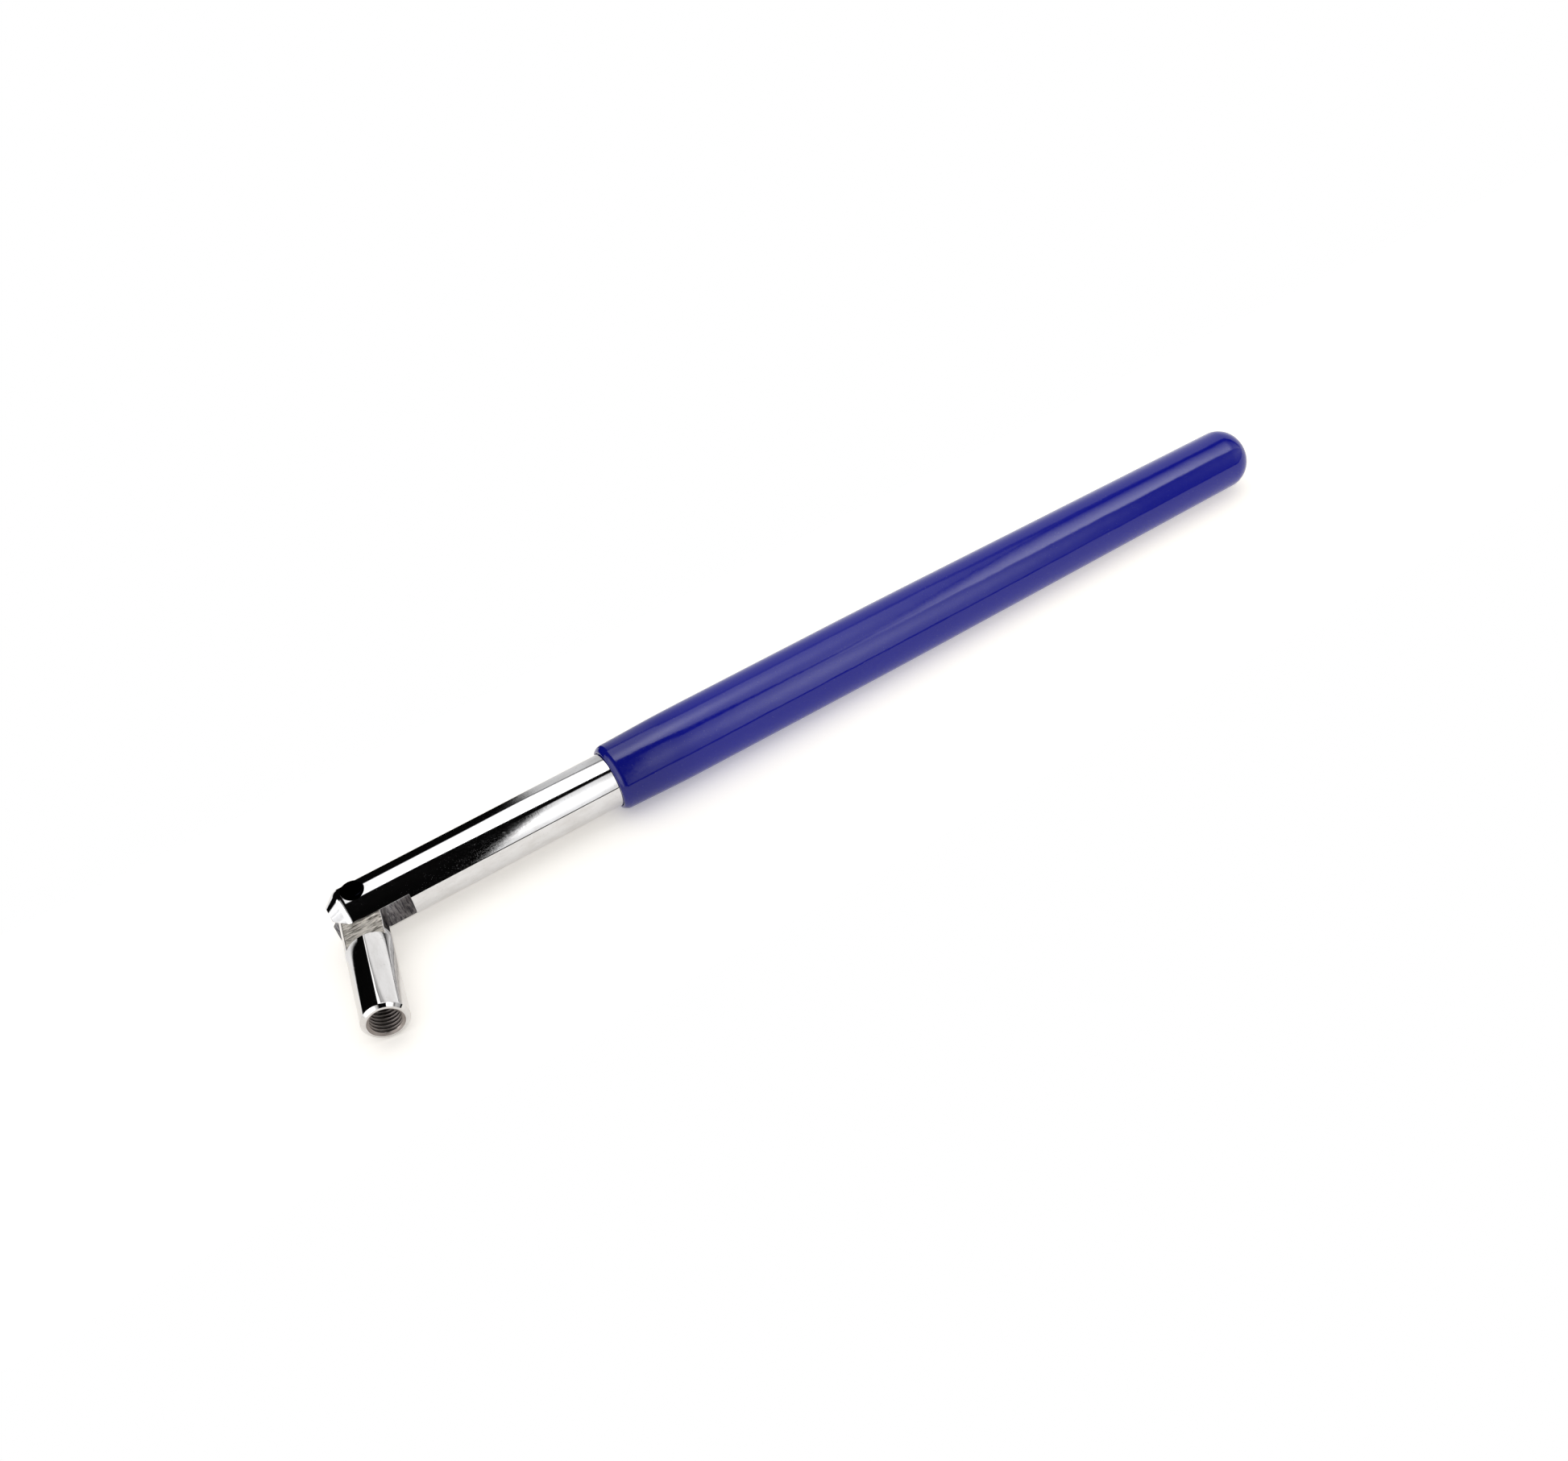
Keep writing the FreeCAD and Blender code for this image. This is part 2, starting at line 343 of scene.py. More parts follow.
def ring(shell, row, angles):
    """A ring of points about X. A row is an axial place and radius, and the
    normal there."""
    (along, radius), (axial, radial) = row
    return [shell.point((along, radius * math.cos(t), radius * math.sin(t)),
                        (axial, radial * math.cos(t), radial * math.sin(t)))
            for t in angles]


# --------------------------------------------------------------- fork rod

def fork_cheek_row(shell, row, upper):
    """One section of a fork cheek: slot face, broken edge, round back."""
    (along, radius), (axial, radial) = row
    side = 1 if upper else -1
    edge = math.asin(FORK_HALF_GAP / radius)
    first = edge + FORK_BREAK / radius
    chord = radius * math.cos(edge)
    back = [(Vector((along, radius * math.cos(t), side * radius * math.sin(t))),
             Vector((axial, radial * math.cos(t), side * radial * math.sin(t))))
            for t in spread(first, math.pi - first, FORK_BACK_STEPS)]
    corners = [Vector((along, sign * chord, side * FORK_HALF_GAP)) for sign in (1, -1)]
    slot_normal = Vector((0, 0, -side))
    ends = [(corner - Vector((0, math.copysign(FORK_BREAK, corner.y), 0)), slot_normal)
            for corner in corners]
    section = ([ends[0]] + bend(ends[0], corners[0], back[0], EDGE_STEPS) + back
               + bend(back[-1], corners[1], ends[1], EDGE_STEPS) + [ends[1]])
    return [shell.point(place, normal) for place, normal in section]


def make_fork_rod(chrome, milled):
    shell = Shell()
    edge = (NOSE_EDGE, ROD_RADIUS)
    centre = ROD_RADIUS - NOSE_ROUND
    bevel = (NOSE_EDGE - NOSE_ROUND * math.sin(NOSE_BEVEL),
             centre + NOSE_ROUND * math.cos(NOSE_BEVEL))
    run = (NOSE_EDGE - NOSE_END) * math.sin(NOSE_BEVEL)
    flat = centre + (NOSE_ROUND - run) / math.cos(NOSE_BEVEL)
    nose = joined([
        straight((NOSE_END, flat - NOSE_FLAT_EDGE), (NOSE_END, flat)),
        straight((NOSE_END, flat), bevel),
        arc(bevel, edge, NOSE_ROUND, steps=8),
        straight(edge, (FORK_DEPTH, ROD_RADIUS)),
    ], (NOSE_BREAK, 0, 0))[1:]
    cheeks = {}
    for upper in (True, False):
        rows = [fork_cheek_row(shell, row, upper) for row in nose]
        shell.face(rows[0], FLAT)
        for first, second in pairwise(rows):
            shell.strip(first, second, SMOOTH)
            shell.face((first[0], first[-1], second[-1], second[0]), FLAT, 1)
        cheeks[upper] = rows[-1]
    first = math.asin(FORK_HALF_GAP / ROD_RADIUS) + FORK_BREAK / ROD_RADIUS
    turn = full_turn(first, FORK_SIDE_STEPS, FORK_BACK_STEPS)
    shank = joined([
        straight((FORK_DEPTH, ROD_RADIUS), (ROD_END - ROD_END_BEVEL, ROD_RADIUS)),
        straight((ROD_END - ROD_END_BEVEL, ROD_RADIUS),
                 (ROD_END, ROD_RADIUS - ROD_END_BEVEL)),
    ], (ROD_END_BREAK,))
    rings = [ring(shell, row, turn) for row in shank]
    for before, after in pairwise(rings):
        shell.strip(before, after, SMOOTH, closed=True)
    shell.face(rings[-1], FLAT)
    # the slot's floor follows the first full ring and both cheeks' edges
    half_turn = FORK_SIDE_STEPS + FORK_BACK_STEPS
    right = rings[0][:FORK_SIDE_STEPS + 1]
    left = rings[0][half_turn:half_turn + FORK_SIDE_STEPS + 1]
    edge_points = EDGE_STEPS + 1
    upper_right, upper_left = cheeks[True][:edge_points], cheeks[True][-edge_points:]
    lower_right, lower_left = cheeks[False][:edge_points], cheeks[False][-edge_points:]
    floor = (right + upper_right[::-1][1:] + upper_left[::-1][:-1] + left
             + lower_left[1:] + lower_right[:-1])
    shell.face(floor, FLAT, 1)
    mesh = drilled(shell.build("fork_rod"), PIN_RADIUS, ROD_RADIUS + DRILL_OVERRUN,
                   "fork_rod")
    shade(mesh, shell, PIN_RADIUS)
    stand(mesh, ROD_AXIS, (chrome, milled), "handle", "handle_rod")


# -------------------------------------------------------------------- pin

def make_pivot_pin(steel):
    shell = Shell()
    radius = PIN_RADIUS - PIN_PRESS_GAP
    dome_radius = (PIN_RADIUS ** 2 + PIN_CROWN ** 2) / (2 * PIN_CROWN)
    top = PIN_EDGE + PIN_CROWN
    dome = arc((0, top), (radius, PIN_EDGE), dome_radius, steps=12)
    wall = straight((radius, PIN_EDGE), (radius, -PIN_EDGE))
    foot = [(Vector((p.x, -p.y)), Vector((n.x, -n.y))) for p, n in reversed(dome)]
    profile = joined([dome, wall, foot], (PIN_BREAK, PIN_BREAK))
    angles = spread(0, 2 * math.pi, PIN_STEPS)[:-1]
    rings = [[shell.point((place.x * math.cos(t), place.x * math.sin(t), place.y),
                          (normal.x * math.cos(t), normal.x * math.sin(t), normal.y))
              for t in angles]
             for place, normal in profile[1:-1]]
    for before, after in pairwise(rings):
        shell.strip(before, after, SMOOTH, closed=True)
    for ends, level, side in ((rings[0], top, 1), (rings[-1], -top, -1)):
        tip = shell.point((0, 0, level), (0, 0, side))
        for a, b in pairwise(ends + ends[:1]):
            shell.face((a, b, tip), SMOOTH)
    mesh = shell.build("pivot_pin")
    shade(mesh, shell)
    stand(mesh, ROD_AXIS, (steel,), "handle", "hinge_pin")


# ----------------------------------------------------------------- socket

def shoulder_at(side):
    """Where the oblique shoulder crosses the socket, at a place to its side."""
    return (TONGUE_SHOULDER - side * math.sin(SHOULDER_SKEW)) / math.cos(SHOULDER_SKEW)


def tongue_row(shell, half_width, level, tail_radius, normal):
    """The tongue's outline at one level: one side, the round tail, the
    other side."""
    foot = -math.sqrt(max(tail_radius ** 2 - half_width ** 2, 0.0))
    start = math.atan2(half_width, foot)
    sides = []
    for sign in (1, -1):
        side_normal = Vector((0, sign * normal.x, normal.y))
        sides.append([shell.point((along, sign * half_width, level), side_normal)
                      for along in spread(shoulder_at(sign * half_width), foot,
                                          TONGUE_STEPS)])
    tail = [shell.point((tail_radius * math.cos(t), tail_radius * math.sin(t), level),
                        (math.cos(t), math.sin(t), 0))
            for t in spread(start, 2 * math.pi - start, TAIL_STEPS)[1:-1]]
    return sides[0], tail, sides[1][::-1]


def thread_radius(turns):
    """The radius of an internal thread, from the count of pitches along it:
    crest, flank, root, flank."""
    part = turns % 1.0
    depth = THREAD_MAJOR - THREAD_MINOR
    if part <= CREST_END:
        return THREAD_MINOR
    if part <= ROOT_START:
        return THREAD_MINOR + depth * (part - CREST_END) / (ROOT_START - CREST_END)
    if part <= ROOT_END:
        return THREAD_MAJOR
    return THREAD_MAJOR - depth * (part - ROOT_END) / (1 - ROOT_END)


def make_thread(shell, angles, finish):
    """A real helical thread, cut back by the countersink at its mouth."""
    marks = (spread(0, CREST_END, 2)[:-1] + spread(CREST_END, ROOT_START, 3)[:-1]
             + spread(ROOT_START, ROOT_END, 2)[:-1] + spread(ROOT_END, 1, 3)[:-1])
    turns = math.ceil((SOCKET_MOUTH - THREAD_FLOOR) / THREAD_PITCH) + 3
    rows = []
    for turn in range(turns):
        for mark in marks:
            row = []
            for t in angles:
                lead = THREAD_PITCH * (t / (2 * math.pi) + 1 - turn - mark)
                along = min(max(SOCKET_MOUTH + lead, THREAD_FLOOR), SOCKET_MOUTH)
                sink = SINK_RADIUS - 2 * (SOCKET_MOUTH - along)
                fade = min((along - THREAD_FLOOR) / THREAD_PITCH, 1.0)
                cut = thread_radius(mark) * fade + THREAD_MINOR * (1 - fade)
                radius = max(cut, sink)
                row.append(shell.point((along, radius * math.cos(t), radius * math.sin(t))))
            rows.append(row)
    step = len(marks)
    for index in range(len(rows) - 1):
        shell.strip(rows[index], rows[index + 1], FREE, finish)
        if index >= step:
            last, start = rows[index], rows[index + 1]
            shell.face((last[-1], rows[index - step][0], rows[index + 1 - step][0],
                        start[-1]), FREE, finish)
    tip = shell.point((THREAD_FLOOR - DRILL_POINT, 0, 0))
    foot = rows[-1]
    for a, b in pairwise(foot + foot[:1]):
        shell.face((a, b, tip), FREE, finish)
    return rows[0]


def make_swivel_socket(chrome, milled, bore):
    shell = Shell()
    flat_edge = math.asin(TONGUE_HALF / SOCKET_RADIUS)
    first = flat_edge - TONGUE_BREAK / SOCKET_RADIUS
    corner = SOCKET_RADIUS * math.cos(flat_edge)
    right = spread(-first, first, SOCKET_SIDE_STEPS)
    levels = [(SOCKET_RADIUS * math.cos(t), SOCKET_RADIUS * math.sin(t), SOCKET_RADIUS,
               Vector((math.cos(t), math.sin(t)))) for t in right]
    breaks = []
    for t in (0.33, 0.67, 1.0):
        width = (levels[-1][0] * (1 - t) ** 2 + corner * 2 * t * (1 - t)
                 + (corner - TONGUE_BREAK) * t * t)
        level = levels[-1][1] * (1 - t) ** 2 + TONGUE_HALF * (2 * t * (1 - t) + t * t)
        tail = SOCKET_RADIUS - TONGUE_BREAK * t * t
        breaks.append((width, level, tail, Vector((0, 1))))
    lower = [(w, -z, r, Vector((n.x, -n.y))) for w, z, r, n in reversed(breaks)]
    rows = []
    for width, level, tail, normal in lower + levels + breaks:
        rows.append(tongue_row(shell, width, level, tail, normal))
    last = len(rows) - 1
    for index, (before, after) in enumerate(pairwise(rows)):
        kind = FREE if index < len(breaks) or index >= last - len(breaks) else SMOOTH
        (near, tail, far), (near_up, tail_up, far_up) = before, after
        shell.strip(near, near_up, kind)
        shell.strip(near[-1:] + tail + far[:1], near_up[-1:] + tail_up + far_up[:1], FREE)
        shell.strip(far, far_up, kind)
    for row in (rows[0], rows[-1]):
        shell.face(row[0] + row[1] + row[2], FLAT, 1)
    # the round body shares the tongue's side points at the shoulder
    angles = full_turn(first, SOCKET_SIDE_STEPS, SOCKET_BACK_STEPS)
    bevel_start = (SOCKET_MOUTH - SOCKET_BEVEL, SOCKET_RADIUS)
    bevel_end = (SOCKET_MOUTH, SOCKET_RADIUS - SOCKET_BEVEL)
    profile = joined([
        straight((TONGUE_SHOULDER, SOCKET_RADIUS), bevel_start),
        straight(bevel_start, bevel_end),
        straight(bevel_end, (SOCKET_MOUTH, SINK_RADIUS)),
    ], (RIM_BREAK, RIM_BREAK))
    sides = [(SOCKET_RADIUS * math.cos(t), SOCKET_RADIUS * math.sin(t)) for t in angles]
    rings = [[shell.point((shoulder_at(y), y, z), (0, y, z)) for y, z in sides]]
    rings += [ring(shell, row, angles) for row in profile[1:]]
    for before, after in pairwise(rings):
        shell.strip(before, after, SMOOTH, closed=True)
    shoulder = rings[0]
    upper_end = SOCKET_SIDE_STEPS + SOCKET_BACK_STEPS
    left_end = upper_end + SOCKET_SIDE_STEPS
    top_arc = shoulder[SOCKET_SIDE_STEPS:upper_end + 1]
    top = [rows[index] for index in (last - 2, last - 1, last)]
    shell.face(top_arc + [row[2][-1] for row in top] + [row[0][0] for row in reversed(top)],
               FLAT, 1)
    low_arc = shoulder[left_end:] + shoulder[:1]
    foot = [rows[index] for index in (2, 1, 0)]
    shell.face(low_arc + [row[0][0] for row in foot] + [row[2][-1] for row in reversed(foot)],
               FLAT, 1)
    make_thread(shell, angles, 2)
    eye = PIN_RADIUS + PIN_CLEARANCE
    mesh = drilled(shell.build("swivel_socket"), eye, SOCKET_RADIUS, "swivel_socket")
    shade(mesh, shell, eye)
    stand(mesh, SOCKET_AXIS, (chrome, milled, bore), "socket",
          "threaded_socket")


# ------------------------------------------------------------------- grip

def make_vinyl_grip(vinyl):
    shell = Shell()
    bore_start = GRIP_START + BORE_MOUTH_DEPTH
    lip_front = (GRIP_START, GRIP_BORE + BORE_MOUTH_FLARE)
    lip_face = (GRIP_START, GRIP_LIP_RADIUS - GRIP_LIP_RISE)
    lip_back = (GRIP_START + GRIP_LIP_LENGTH, GRIP_LIP_RADIUS)
    profile = joined([
        straight((bore_start, GRIP_BORE), lip_front),
        straight(lip_front, lip_face),
        arc(lip_face, lip_back, GRIP_LIP_ROUND, steps=10),
        straight(lip_back, (GRIP_FULL, GRIP_RADIUS)),
        straight((GRIP_FULL, GRIP_RADIUS), (TAPER_START, GRIP_RADIUS)),
        straight((TAPER_START, GRIP_RADIUS), (TAPER_END, GRIP_TAIL_RADIUS)),
        arc((TAPER_END, GRIP_TAIL_RADIUS),
            (GRIP_END, GRIP_TAIL_RADIUS - TAIL_ROUND), TAIL_ROUND, steps=16),
    ], (0, LIP_BREAK, 0, GRIP_FULL_BREAK, TAPER_BREAK, TAIL_BREAK), steps=6)
    angles = spread(0, 2 * math.pi, GRIP_STEPS)[:-1]
    rings = [ring(shell, row, angles) for row in profile]
    for before, after in pairwise(rings):
        shell.strip(before, after, FREE, closed=True)
    tip = shell.point((GRIP_END, 0, 0))
    for a, b in pairwise(rings[-1] + rings[-1][:1]):
        shell.face((a, b, tip), FREE)
    inner = [ring(shell, ((along, GRIP_BORE), (0, -1)), angles)
             for along in (bore_start, BORE_END)]
    shell.strip(inner[0], inner[1], FREE, closed=True)
    shell.face(inner[1], FREE)
    mesh = shell.build("vinyl_grip")
    shade(mesh, shell, crease=50.0)
    stand(mesh, ROD_AXIS, (vinyl,), "handle", "grip_sleeve")


# -------------------------------------------------------------- materials

class Nodes:
    """Adds wired nodes to a material's or the world's node tree."""

    def __init__(self, owner):
        owner.use_nodes = True
        self.tree = owner.node_tree
        self.tree.nodes.clear()

    def add(self, kind, inputs=None, **settings):
        node = self.tree.nodes.new("ShaderNode" + kind)
        for name, value in settings.items():
            setattr(node, name, value)
        for name, value in (inputs or {}).items():
            self.put(node.inputs[name], value)
        return node

    def put(self, socket, value):
        """Links another node's output, or sets a plain value."""
        if isinstance(value, bpy.types.NodeSocket):
            self.tree.links.new(value, socket)
        else:
            socket.default_value = value

    def math(self, operation, *values, clamp=False):
        node = self.add("Math", operation=operation, use_clamp=clamp)
        for socket, value in zip(node.inputs, values):
            self.put(socket, value)
        return node.outputs[0]

    def remap(self, value, low, high, start, end, smooth=False):
        node = self.add("MapRange", {"Value": value, "From Min": low, "From Max": high,
                                     "To Min": start, "To Max": end},
                        interpolation_type="SMOOTHSTEP" if smooth else "LINEAR")
        return node.outputs["Result"]

    def mix(self, factor, first, second):
        """A blend of two colours."""
        node = self.add("Mix", data_type="RGBA")
        for socket, value in ((node.inputs[0], factor), (node.inputs[6], first),
                              (node.inputs[7], second)):
            self.put(socket, value)
        return node.outputs[2]

    def coordinates(self, scale=(1, 1, 1), rotation=(0, 0, 0)):
        """Places on the piece in millimetres, then scaled and turned."""
        source = self.add("TexCoord").outputs["Object"]
        size = [1000 * value for value in scale]
        mapping = self.add("Mapping", {"Vector": source, "Scale": size, "Rotation": rotation},
                           vector_type="POINT")
        return mapping.outputs[0]

    def noise(self, vector, scale, detail, roughness, distortion=0.0):
        node = self.add("TexNoise", {"Vector": vector, "Scale": scale, "Detail": detail,
                                     "Roughness": roughness, "Distortion": distortion})
        return node.outputs[0]

    def bump(self, height, depth_mm):
        return self.add("Bump", {"Height": height, "Strength": 1.0,
                                 "Distance": depth_mm * MM}).outputs[0]

    def surface(self, **inputs):
        """The material's shader, with each input by its own name."""
        names = {name.replace("_", " "): value for name, value in inputs.items()}
        shader = self.add("BsdfPrincipled", names)
        output = self.add("OutputMaterial")
        self.tree.links.new(shader.outputs[0], output.inputs["Surface"])


def colour(red, green, blue):
    return (red, green, blue, 1.0)


def make_chrome(name, tint, wear):
    """Bright chrome plate: fine polishing lines, a few dull specks."""
    material = bpy.data.materials.new(name)
    nodes = Nodes(material)
    lines = nodes.noise(nodes.coordinates((0.35, 9, 9)), 1.0, 3.0, 0.6)
    specks = nodes.noise(nodes.coordinates(), 2.6, 4.0, 0.65)
    clouds = nodes.noise(nodes.coordinates((0.25, 0.6, 0.6)), 1.0, 3.0, 0.6)
    dull = nodes.remap(specks, 0.62, 0.74, 0.0, 1.0)
    roughness = nodes.math("ADD", nodes.remap(lines, 0.3, 0.7, 0.02, 0.055),
                           nodes.math("MULTIPLY", dull, wear))
    height = nodes.math("ADD", nodes.math("MULTIPLY", lines, 0.3), specks)
    tone = nodes.mix(nodes.remap(clouds, 0.4, 0.7, 0.0, 0.5), tint,
                     nodes.mix(0.75, tint, colour(0.5, 0.48, 0.46)))
    nodes.surface(Base_Color=nodes.mix(dull, tone, colour(0.50, 0.49, 0.48)),
                  Metallic=1.0, Roughness=roughness,
                  Normal=nodes.bump(height, 0.0012))
    return material


def make_milled(name, turn, shadow, light):
    """Bare milled steel: wavy cutter lines across the face, with painted shade in their grooves
    and painted highlight on their ridges.
    """
    material = bpy.data.materials.new(name)
    nodes = Nodes(material)
    place = nodes.coordinates(rotation=(0, 0, turn))
    coarse = nodes.add("Mapping", {"Vector": place, "Scale": (0.4, 1.9, 1.0)}).outputs[0]
    fine = nodes.add("Mapping", {"Vector": place, "Scale": (0.7, 6.0, 1.0)}).outputs[0]
    ridges = nodes.noise(coarse, 1.0, 3.0, 0.6, 0.9)
    lines = nodes.noise(fine, 1.0, 3.0, 0.6, 0.5)
    height = nodes.math("ADD", nodes.math("MULTIPLY", ridges, 0.55),
                        nodes.math("MULTIPLY", lines, 0.45))
    # painted shade and highlight: the colour runs from the shadow colour in the grooves to the
    # light colour on the ridges
    tone = nodes.remap(height, 0.41, 0.56, 0.0, 1.0)
    nodes.surface(Base_Color=nodes.mix(tone, shadow, light),
                  Metallic=1.0, Roughness=nodes.remap(tone, 0.0, 1.0, 0.5, 0.3),
                  Normal=nodes.bump(height, 0.16))
    return material


def make_bore_steel():
    """The thread's cut steel: dark brown-grey, with lighter and darker lines along the bore."""
    material = bpy.data.materials.new("bore_steel")
    nodes = Nodes(material)
    lines = nodes.noise(nodes.coordinates((6, 1, 1)), 1.0, 3.0, 0.6)
    nodes.surface(Base_Color=nodes.mix(lines, colour(0.17, 0.145, 0.135),
                                       colour(0.40, 0.365, 0.345)),
                  Metallic=1.0, Roughness=nodes.remap(lines, 0.3, 0.7, 0.34, 0.5),
                  Normal=nodes.bump(lines, 0.004))
    return material


def make_pin_steel():
    """A polished pin, coloured near black."""
    material = bpy.data.materials.new("pin_steel")
    nodes = Nodes(material)
    marks = nodes.noise(nodes.coordinates(), 3.0, 3.0, 0.6)
    nodes.surface(Base_Color=nodes.mix(marks, colour(0.004, 0.004, 0.008),
                                       colour(0.012, 0.012, 0.022)),
                  Metallic=1.0, Roughness=nodes.remap(marks, 0.3, 0.7, 0.06, 0.14),
                  Normal=nodes.bump(marks, 0.002))
    return material


def make_vinyl():
    """Dipped blue vinyl: deep colour, a wet gloss, faint waves and dust."""
    material = bpy.data.materials.new("blue_vinyl")
    nodes = Nodes(material)
    waves = nodes.noise(nodes.coordinates((0.12, 0.35, 0.35)), 1.0, 2.0, 0.5)
    grain = nodes.noise(nodes.coordinates(), 1.8, 3.0, 0.5)
    dust = nodes.noise(nodes.coordinates(), 5.0, 2.0, 0.5)
    specks = nodes.remap(dust, 0.70, 0.76, 0, 1)
    reach = nodes.add("SeparateXYZ", {0: nodes.coordinates()}).outputs[0]
    # painted shade: the colour is darker towards the lip
    body = nodes.mix(nodes.remap(reach, GRIP_START, GRIP_START + 22, 0, 1, smooth=True),
                     colour(0.0045, 0.0065, 0.185), colour(0.0065, 0.0090, 0.280))
    deep = nodes.mix(nodes.math("MULTIPLY", waves, 0.3), body, colour(0.004, 0.006, 0.22))
    height = nodes.math("ADD", waves, nodes.math("MULTIPLY", grain, 0.05))
    nodes.surface(Base_Color=nodes.mix(nodes.math("MULTIPLY", specks, 0.35), deep,
                                       colour(0.25, 0.26, 0.36)),
                  Roughness=nodes.remap(grain, 0.3, 0.7, 0.06, 0.12),
                  IOR=1.4, Normal=nodes.bump(height, 0.04))
    return material


# ----------------------------------------------------------------- studio

AZIMUTH = 21.807
ELEVATION = 37.339
ROLL = -14.399
AIM = Vector((-0.012869, -0.000937, 0.00642))
DISTANCE = 0.31743
LENS = 41.729
SENSOR = 36.0

BOARD_REACH = 0.5
BOARD_FRONT = -0.036
BOARD_BACK = 0.06

DOME_SIDE = 0.45        # the dome's light at the horizon
DOME_RISE = 0.9         # and how much it gains overhead
BACKDROP = 1.0
DARKEST = 0.002         # the least light from any direction seen in the chrome


def make_camera():
    data = bpy.data.cameras.new("camera")
    data.sensor_width = SENSOR
    data.lens = LENS
    data.clip_start = 0.01
    data.clip_end = 20.0
    camera = add_object("camera", data)
    azimuth, elevation = math.radians(AZIMUTH), math.radians(ELEVATION)
    back = Vector((-math.sin(azimuth) * math.cos(elevation),
                   -math.cos(azimuth) * math.cos(elevation),
                   math.sin(elevation)))
    turn = (-back).to_track_quat("-Z", "Y").to_matrix().to_4x4()
    roll = Matrix.Rotation(math.radians(ROLL), 4, "Z")
    camera.matrix_world = Matrix.Translation(AIM + back * DISTANCE) @ turn @ roll
    bpy.context.scene.camera = camera


def make_floor():
    """A white board under the tool, lit from within too, more so gripwards."""
    mesh = bpy.data.meshes.new("floor")
    corners = [(-BOARD_REACH, BOARD_FRONT, 0), (BOARD_REACH, BOARD_FRONT, 0),
               (BOARD_REACH, BOARD_BACK, 0), (-BOARD_REACH, BOARD_BACK, 0)]
    mesh.from_pydata(corners, [], [(0, 1, 2, 3)])
    material = bpy.data.materials.new("floor")
    nodes = Nodes(material)
    along = nodes.add("SeparateXYZ", {0: nodes.coordinates()}).outputs[0]
    gripwards = nodes.remap(along, -50, 80, 0, 1, smooth=True)
    nodes.surface(Base_Color=colour(0.92, 0.89, 0.845), Roughness=0.9,
                  Emission_Color=nodes.mix(gripwards, colour(1.0, 0.985, 0.955),
                                           colour(1.0, 0.96, 0.80)),
                  Emission_Strength=nodes.remap(gripwards, 0, 1, 0.32, 0.5))
    mesh.materials.append(material)
    add_object("floor", mesh)


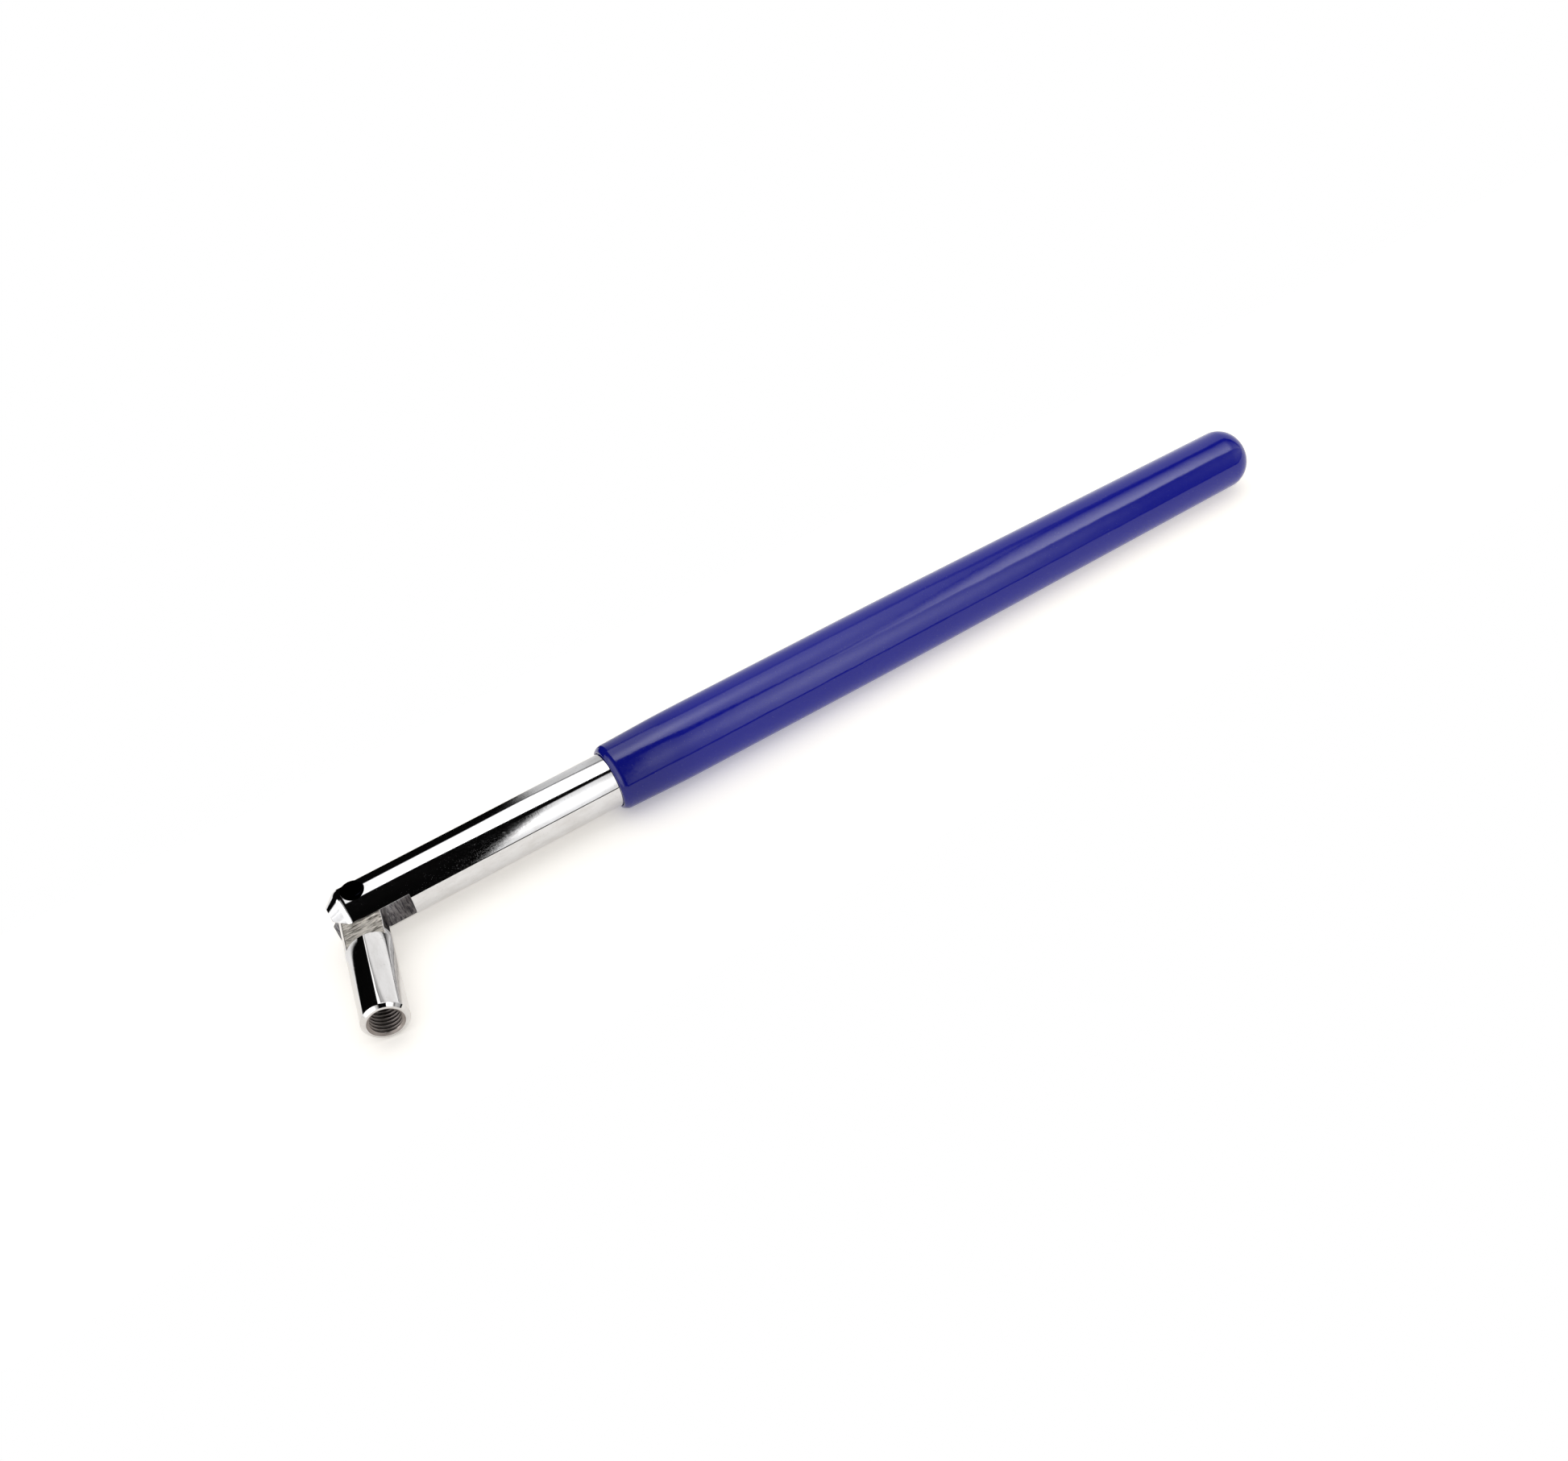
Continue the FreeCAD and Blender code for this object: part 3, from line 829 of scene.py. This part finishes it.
class Sky(Nodes):
    """The studio seen in the chrome, by direction: how far along the tool
    (+1 past the grip's end) and the angle over it, from the front floor line
    at 0 through overhead at 90 to the back floor line at 180."""

    def __init__(self, world):
        super().__init__(world)
        direction = self.add("TexCoord").outputs["Generated"]
        self.along, front, self.height = self.add("SeparateXYZ", {0: direction}).outputs
        self.ahead = self.math("MULTIPLY", self.along, -1.0)
        away = self.math("MULTIPLY", front, -1.0)
        turn = self.math("DEGREES", self.math("ARCTAN2", self.height, away))
        behind = self.math("LESS_THAN", turn, -90.0)
        self.angle = self.math("ADD", turn, self.math("MULTIPLY", behind, 360.0))
        # some of the panels have torn edges
        self.ragged = self.remap(self.noise(direction, 130.0, 8.0, 0.85),
                                 0.3, 0.7, -0.016, 0.016)
        # where the overhead panel ends and where the wall behind begins
        self.panel_end = self.line(
            (-1, 132), (0.12, 133), (0.155, 136), (0.185, 131), (0.21, 123), (0.28, 120.5),
            (0.35, 118.5), (0.41, 116), (0.44, 111), (0.48, 106), (1, 100))
        self.wall_start = self.line(
            (-1, 138), (0.155, 141), (0.2, 134), (0.25, 128), (0.38, 127), (0.44, 123),
            (0.49, 117), (0.54, 111), (1, 111))

    def line(self, *points, most=180.0):
        """A value that changes along the tool, through (along, value)."""
        node = self.add("FloatCurve", {"Value": self.remap(self.along, -1, 1, 0, 1)})
        curve = node.mapping.curves[0]
        while len(curve.points) < len(points):
            curve.points.new(0.5, 0.5)
        for point, (along, value) in zip(curve.points, points):
            point.location = ((along + 1) / 2, value / most)
            point.handle_type = "VECTOR"
        node.mapping.update()
        return self.math("MULTIPLY", node.outputs[0], most)

    def past(self, value, edge, soft):
        """1 where value is past the edge, fading over the soft width."""
        return self.remap(self.math("SUBTRACT", value, edge), -soft, soft, 0, 1, smooth=True)

    def times(self, *masks):
        result = masks[0]
        for mask in masks[1:]:
            result = self.math("MULTIPLY", result, mask)
        return result

    def sum(self, *lights):
        result = lights[0]
        for light in lights[1:]:
            result = self.math("ADD", result, light)
        return result

    def without(self, mask):
        return self.math("SUBTRACT", 1.0, mask)

    def glow(self, value, centre, width):
        """A soft bump around the centre."""
        far = self.math("DIVIDE", self.math("SUBTRACT", value, centre), width)
        return self.math("EXPONENT", self.math("MULTIPLY", self.math("MULTIPLY", far, far), -1.0))

    def overhead(self):
        """The panel overhead, with its hot middle."""
        start = self.line(
            (-1, 87), (0.09, 87), (0.14, 82), (0.2, 75.5), (0.25, 69.5), (0.28, 64),
            (0.32, 58.5), (0.35, 61), (0.38, 71), (0.41, 84), (0.44, 93), (0.48, 110),
            (0.6, 110), (1, 100))
        shape = self.times(self.past(self.angle, start, 2.0),
                           self.without(self.past(self.angle, self.panel_end, 3.0)),
                           self.past(self.along, 0.045, 0.03))
        level = self.line((-1, 1.7), (0.35, 1.7), (0.38, 1.6), (0.44, 0.9), (0.55, 0.85),
                          (1, 1.3), most=5.0)
        hot = self.times(self.glow(self.angle, 93.0, 14.0), self.glow(self.along, 0.2, 0.105),
                         3.5)
        return self.times(shape, self.sum(level, hot))

    def front(self):
        """The panel in front, right of a ragged edge, and what the head's end sees."""
        roof = self.line((-1, 118), (-0.25, 118), (-0.2, 62), (0.2, 62), (0.22, 55.5),
                         (1, 55.5))
        edge = self.sum(self.ragged, self.remap(self.angle, -4, 60, 0.128, 0.163))
        level = self.line(
            (-1, 0.6), (-0.88, 1.7), (-0.6, 1.8), (-0.39, 1.0), (-0.27, 0), (0.1, 0),
            (0.12, 2.2), (0.195, 2.1), (0.21, 1.6), (0.25, 2.0), (0.28, 3.1), (0.32, 3.8),
            (0.38, 3.0), (0.44, 2.3), (0.49, 1.1), (0.53, 0.2), (0.56, 0.5), (0.6, 1.0),
            (1, 1.0), most=5.0)
        shown = self.math("MAXIMUM", self.past(self.along, edge, 0.002),
                          self.math("LESS_THAN", self.along, 0.0))
        fall = self.sum(0.5, self.times(self.glow(self.angle, 27.0, 18.0), 0.5))
        return self.times(self.past(self.angle, -6.8, 1.0),
                          self.without(self.past(self.angle, roof, 2.5)), shown, level, fall)

    def strip(self):
        """The bright strip over the front panel, towards the far end."""
        far = self.line((-1, 64), (0.33, 64), (0.38, 73), (0.41, 84), (0.44, 92), (0.47, 104),
                        (0.54, 99), (1, 99))
        peak = self.line((-1, 0), (0.33, 0), (0.38, 2.4), (0.41, 3.2), (0.44, 4.8),
                         (0.47, 5.6), (0.54, 5.8), (0.62, 1.2), (1, 1.2), most=8.0)
        ramp = self.math("DIVIDE", self.math("SUBTRACT", far, self.angle),
                         self.math("SUBTRACT", far, 62.0), clamp=True)
        return self.times(self.past(self.angle, 52.0, 4.5), ramp, peak)

    def back(self):
        """The pale wall behind."""
        level = self.line(
            (-1, 0), (0.14, 0), (0.165, 0.75), (0.19, 0.85), (0.21, 0.5), (0.25, 0.6),
            (0.28, 0.75), (0.35, 0.85), (0.45, 0.95), (0.52, 1.1), (1, 1.1), most=5.0)
        low = self.times(self.remap(self.angle, 150, 180, 0, 0.25),
                         self.past(self.along, 0.2, 0.03))
        return self.times(self.past(self.angle, self.wall_start, 3.0),
                          self.past(self.along, self.sum(self.ragged, 0.155), 0.004),
                          self.sum(level, low))

    def seam(self):
        """The dim gap between the overhead panel and the wall behind."""
        level = self.line((-1, 0), (0.16, 0), (0.2, 0.25), (0.3, 0.55), (0.36, 0.55),
                          (0.44, 0.3), (0.5, 0.12), (1, 0.12), most=5.0)
        return self.times(level, self.past(self.angle, 100.0, 5.0),
                          self.without(self.past(self.angle, self.wall_start, 3.0)),
                          self.past(self.angle, self.panel_end, 3.0))

    def end_wall(self):
        """The white wall past the head."""
        edge = self.remap(self.angle, 135, 152, 0.5, 0.74)
        return self.times(self.past(self.ahead, edge, 0.03),
                          self.remap(self.ahead, 0.88, 0.95, 1.5, 0.8))

    def ground(self, end_wall):
        """White ground beyond the board's edges, on the head's side."""
        below = self.sum(self.past(self.angle, 181.0, 1.5),
                         self.without(self.past(self.angle, -8.0, 1.5)))
        return self.times(below, self.past(self.ahead, 0.02, 0.03), self.without(end_wall),
                          1.12)

    def background(self, strength):
        """Plain white light."""
        return self.add("Background", {"Color": colour(1, 1, 1),
                                       "Strength": strength}).outputs[0]


def make_sky():
    world = bpy.data.worlds.new("studio")
    bpy.context.scene.world = world
    sky = Sky(world)
    end_wall = sky.end_wall()
    ground = sky.math("MAXIMUM", sky.ground(end_wall), DARKEST)
    studio = sky.background(sky.sum(sky.overhead(), sky.front(), sky.strip(), sky.back(),
                                    sky.seam(), end_wall, ground))
    # the dome's light comes mostly from overhead
    up = sky.math("MAXIMUM", sky.height, 0.0)
    dome = sky.background(sky.math("MULTIPLY_ADD", sky.math("MULTIPLY", up, up), DOME_RISE,
                                   DOME_SIDE))
    backdrop = sky.background(BACKDROP)
    # light that has left a matt surface meets the dome, even by way of the chrome
    paths = sky.add("LightPath").outputs
    direct = sky.without(sky.math("GREATER_THAN", paths["Diffuse Depth"], 0.5))
    mirrored = sky.math("MULTIPLY", paths["Is Glossy Ray"], direct)
    lit = sky.add("MixShader", {0: mirrored, 1: dome, 2: studio})
    mixed = sky.add("MixShader", {0: paths["Is Camera Ray"], 1: lit.outputs[0], 2: backdrop})
    sky.add("OutputWorld", {"Surface": mixed.outputs[0]})


bpy.context.scene.view_settings.view_transform = "Standard"
make_camera()
make_floor()
make_sky()

# the cutter lines run across the slot, and along the rod on the tongue
ACROSS = math.pi / 2
ROD_WISE = math.acos(-ROD_AXIS.dot(SOCKET_AXIS))
rod_chrome = make_chrome("rod_chrome", colour(0.69, 0.69, 0.70), 0.10)
socket_chrome = make_chrome("socket_chrome", colour(0.68, 0.67, 0.665), 0.14)
slot_steel = make_milled("slot_steel", ACROSS, colour(0.19, 0.18, 0.20),
                         colour(0.66, 0.64, 0.64))
tongue_steel = make_milled("tongue_steel", ROD_WISE, colour(0.09, 0.08, 0.065),
                           colour(0.72, 0.68, 0.62))
make_fork_rod(rod_chrome, slot_steel)
make_pivot_pin(make_pin_steel())
make_swivel_socket(socket_chrome, tongue_steel, make_bore_steel())
make_vinyl_grip(make_vinyl())
